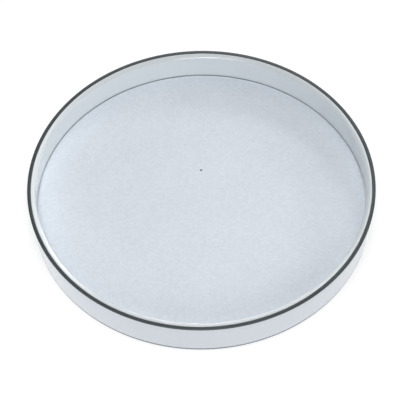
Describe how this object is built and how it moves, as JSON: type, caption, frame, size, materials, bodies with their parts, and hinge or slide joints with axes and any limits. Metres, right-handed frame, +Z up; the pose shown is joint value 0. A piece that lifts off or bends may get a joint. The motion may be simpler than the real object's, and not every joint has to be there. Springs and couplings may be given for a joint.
{
  "type": "lazy susan turntable",
  "caption": "Round pale plastic turntable with a low wall, a dark band round the rim and a matte floor liner, turning on a low hidden base through a ring of caged balls.",
  "frame": {"origin": "on the table, on the axis that the tray turns about, at the bottom of the feet", "axes": "+Z up along the axis of the turn, -Y towards the front"},
  "size_m": [0.305, 0.305, 0.0406],
  "materials": {
    "tray_plastic": "satin-gloss moulded, pale blue-grey",
    "liner": "matte, very fine grain",
    "rim_rubber": "charcoal, satin",
    "base_plastic": "fine moulded grain",
    "slick_plastic": "natural, slightly waxy",
    "steel": "polished bearing steel",
    "foot_rubber": "matte, fine grain"
  },
  "bodies": {
    "base": {"base_plate": "base_plastic", "pivot_bush": "slick_plastic", "foot_1": "foot_rubber", "foot_2": "foot_rubber", "foot_3": "foot_rubber", "foot_4": "foot_rubber", "foot_5": "foot_rubber", "foot_6": "foot_rubber"},
    "tray": {"tray": "tray_plastic", "floor_liner": "liner", "rim_band": "rim_rubber", "pivot_washer": "steel", "pivot_screw": "steel"},
    "ball_cage": {"ball_cage": "slick_plastic"},
    "ball_01": {"ball_01": "steel"},
    "ball_02": {"ball_02": "steel"},
    "ball_03": {"ball_03": "steel"},
    "ball_04": {"ball_04": "steel"},
    "ball_05": {"ball_05": "steel"},
    "ball_06": {"ball_06": "steel"},
    "ball_07": {"ball_07": "steel"},
    "ball_08": {"ball_08": "steel"},
    "ball_09": {"ball_09": "steel"},
    "ball_10": {"ball_10": "steel"},
    "ball_11": {"ball_11": "steel"},
    "ball_12": {"ball_12": "steel"},
    "ball_13": {"ball_13": "steel"},
    "ball_14": {"ball_14": "steel"},
    "ball_15": {"ball_15": "steel"},
    "ball_16": {"ball_16": "steel"}
  },
  "joints": [
    {"name": "tray_spin", "type": "hinge", "parent": "base", "child": "tray", "pos_m": [0, 0, 0.0071], "axis": [0, 0, 1], "continuous": true},
    {"name": "cage_spin", "type": "hinge", "parent": "base", "child": "ball_cage", "pos_m": [0, 0, 0.0071], "axis": [0, 0, 1], "continuous": true},
    {"name": "ball_01_roll", "type": "hinge", "parent": "ball_cage", "child": "ball_01", "pos_m": [0.092, 0, 0.0071], "axis": [1, 0, 0], "continuous": true},
    {"name": "ball_02_roll", "type": "hinge", "parent": "ball_cage", "child": "ball_02", "pos_m": [0.085, 0.03521, 0.0071], "axis": [0.9239, 0.3827, 0], "continuous": true},
    {"name": "ball_03_roll", "type": "hinge", "parent": "ball_cage", "child": "ball_03", "pos_m": [0.06505, 0.06505, 0.0071], "axis": [0.7071, 0.7071, 0], "continuous": true},
    {"name": "ball_04_roll", "type": "hinge", "parent": "ball_cage", "child": "ball_04", "pos_m": [0.03521, 0.085, 0.0071], "axis": [0.3827, 0.9239, 0], "continuous": true},
    {"name": "ball_05_roll", "type": "hinge", "parent": "ball_cage", "child": "ball_05", "pos_m": [0, 0.092, 0.0071], "axis": [0, 1, 0], "continuous": true},
    {"name": "ball_06_roll", "type": "hinge", "parent": "ball_cage", "child": "ball_06", "pos_m": [-0.03521, 0.085, 0.0071], "axis": [-0.3827, 0.9239, 0], "continuous": true},
    {"name": "ball_07_roll", "type": "hinge", "parent": "ball_cage", "child": "ball_07", "pos_m": [-0.06505, 0.06505, 0.0071], "axis": [-0.7071, 0.7071, 0], "continuous": true},
    {"name": "ball_08_roll", "type": "hinge", "parent": "ball_cage", "child": "ball_08", "pos_m": [-0.085, 0.03521, 0.0071], "axis": [-0.9239, 0.3827, 0], "continuous": true},
    {"name": "ball_09_roll", "type": "hinge", "parent": "ball_cage", "child": "ball_09", "pos_m": [-0.092, 0, 0.0071], "axis": [-1, 0, 0], "continuous": true},
    {"name": "ball_10_roll", "type": "hinge", "parent": "ball_cage", "child": "ball_10", "pos_m": [-0.085, -0.03521, 0.0071], "axis": [-0.9239, -0.3827, 0], "continuous": true},
    {"name": "ball_11_roll", "type": "hinge", "parent": "ball_cage", "child": "ball_11", "pos_m": [-0.06505, -0.06505, 0.0071], "axis": [-0.7071, -0.7071, 0], "continuous": true},
    {"name": "ball_12_roll", "type": "hinge", "parent": "ball_cage", "child": "ball_12", "pos_m": [-0.03521, -0.085, 0.0071], "axis": [-0.3827, -0.9239, 0], "continuous": true},
    {"name": "ball_13_roll", "type": "hinge", "parent": "ball_cage", "child": "ball_13", "pos_m": [0, -0.092, 0.0071], "axis": [0, -1, 0], "continuous": true},
    {"name": "ball_14_roll", "type": "hinge", "parent": "ball_cage", "child": "ball_14", "pos_m": [0.03521, -0.085, 0.0071], "axis": [0.3827, -0.9239, 0], "continuous": true},
    {"name": "ball_15_roll", "type": "hinge", "parent": "ball_cage", "child": "ball_15", "pos_m": [0.06505, -0.06505, 0.0071], "axis": [0.7071, -0.7071, 0], "continuous": true},
    {"name": "ball_16_roll", "type": "hinge", "parent": "ball_cage", "child": "ball_16", "pos_m": [0.085, -0.03521, 0.0071], "axis": [0.9239, -0.3827, 0], "continuous": true}
  ],
  "couplings": [
    {"joint": "cage_spin", "follows": "tray_spin", "ratio": 0.5},
    {"joint": "ball_01_roll", "follows": "tray_spin", "ratio": -18.4},
    {"joint": "ball_02_roll", "follows": "tray_spin", "ratio": -18.4},
    {"joint": "ball_03_roll", "follows": "tray_spin", "ratio": -18.4},
    {"joint": "ball_04_roll", "follows": "tray_spin", "ratio": -18.4},
    {"joint": "ball_05_roll", "follows": "tray_spin", "ratio": -18.4},
    {"joint": "ball_06_roll", "follows": "tray_spin", "ratio": -18.4},
    {"joint": "ball_07_roll", "follows": "tray_spin", "ratio": -18.4},
    {"joint": "ball_08_roll", "follows": "tray_spin", "ratio": -18.4},
    {"joint": "ball_09_roll", "follows": "tray_spin", "ratio": -18.4},
    {"joint": "ball_10_roll", "follows": "tray_spin", "ratio": -18.4},
    {"joint": "ball_11_roll", "follows": "tray_spin", "ratio": -18.4},
    {"joint": "ball_12_roll", "follows": "tray_spin", "ratio": -18.4},
    {"joint": "ball_13_roll", "follows": "tray_spin", "ratio": -18.4},
    {"joint": "ball_14_roll", "follows": "tray_spin", "ratio": -18.4},
    {"joint": "ball_15_roll", "follows": "tray_spin", "ratio": -18.4},
    {"joint": "ball_16_roll", "follows": "tray_spin", "ratio": -18.4}
  ]
}
